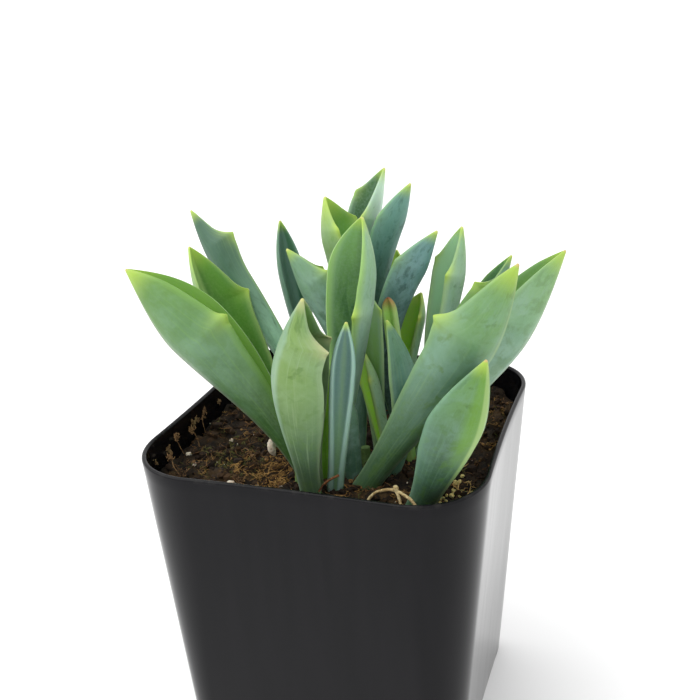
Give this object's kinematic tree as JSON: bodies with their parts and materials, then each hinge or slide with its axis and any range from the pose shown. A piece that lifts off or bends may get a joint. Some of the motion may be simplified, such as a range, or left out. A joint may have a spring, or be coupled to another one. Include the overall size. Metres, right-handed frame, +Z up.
{
  "type": "potted succulent",
  "caption": "Trident senecio with folded, toothed blue-green leaves growing in a square black plastic nursery pot with potting mix.",
  "frame": {"origin": "centre of the pot's flat base, where it rests on a surface", "axes": "+Z up along the pot's middle axis, the pot's front wall faces -Y and its right wall faces +X"},
  "size_m": [0.065, 0.0556, 0.0985],
  "materials": {
    "black_plastic": "satin black moulded plastic",
    "potting_mix": "dark brown, rough and fibrous",
    "leaf_flesh": "waxy blue-green with a pale bloom",
    "stem_flesh": "smooth green stem",
    "perlite_grain": "matt white, porous",
    "wood_fibre": "dry light wood",
    "bark_chip": "dry pale bark"
  },
  "bodies": {
    "root": {"bark_chip": "bark_chip", "fibre_1": "wood_fibre", "fibre_2": "wood_fibre", "fibre_3": "wood_fibre", "fibre_4": "wood_fibre", "fibre_5": "wood_fibre", "leaf_centre": "leaf_flesh", "leaf_dry_tip": "leaf_flesh", "leaf_front_left": "leaf_flesh", "leaf_front_right": "leaf_flesh", "leaf_front_slim": "leaf_flesh", "leaf_inner_front": "leaf_flesh", "leaf_inner_left": "leaf_flesh", "leaf_inner_rear": "leaf_flesh", "leaf_inner_right": "leaf_flesh", "leaf_left_green": "leaf_flesh", "leaf_left_large": "leaf_flesh", "leaf_left_rear": "leaf_flesh", "leaf_middle_left": "leaf_flesh", "leaf_middle_right": "leaf_flesh", "leaf_rear_left_tall": "leaf_flesh", "leaf_rear_pale": "leaf_flesh", "leaf_rear_thin": "leaf_flesh", "leaf_rear_top": "leaf_flesh", "leaf_rear_top_right": "leaf_flesh", "leaf_right_green": "leaf_flesh", "leaf_right_large": "leaf_flesh", "leaf_right_rear_large": "leaf_flesh", "leaf_right_rear_small": "leaf_flesh", "leaf_right_upright": "leaf_flesh", "leaf_small_blue": "leaf_flesh", "perlite_1": "perlite_grain", "perlite_2": "perlite_grain", "perlite_3": "perlite_grain", "perlite_4": "perlite_grain", "perlite_5": "perlite_grain", "perlite_6": "perlite_grain", "perlite_long": "perlite_grain", "pot": "black_plastic", "soil": "potting_mix", "stem_front_left": "stem_flesh", "stem_middle": "stem_flesh", "stem_rear": "stem_flesh", "twig": "wood_fibre", "wood_curl": "wood_fibre"}
  },
  "joints": []
}
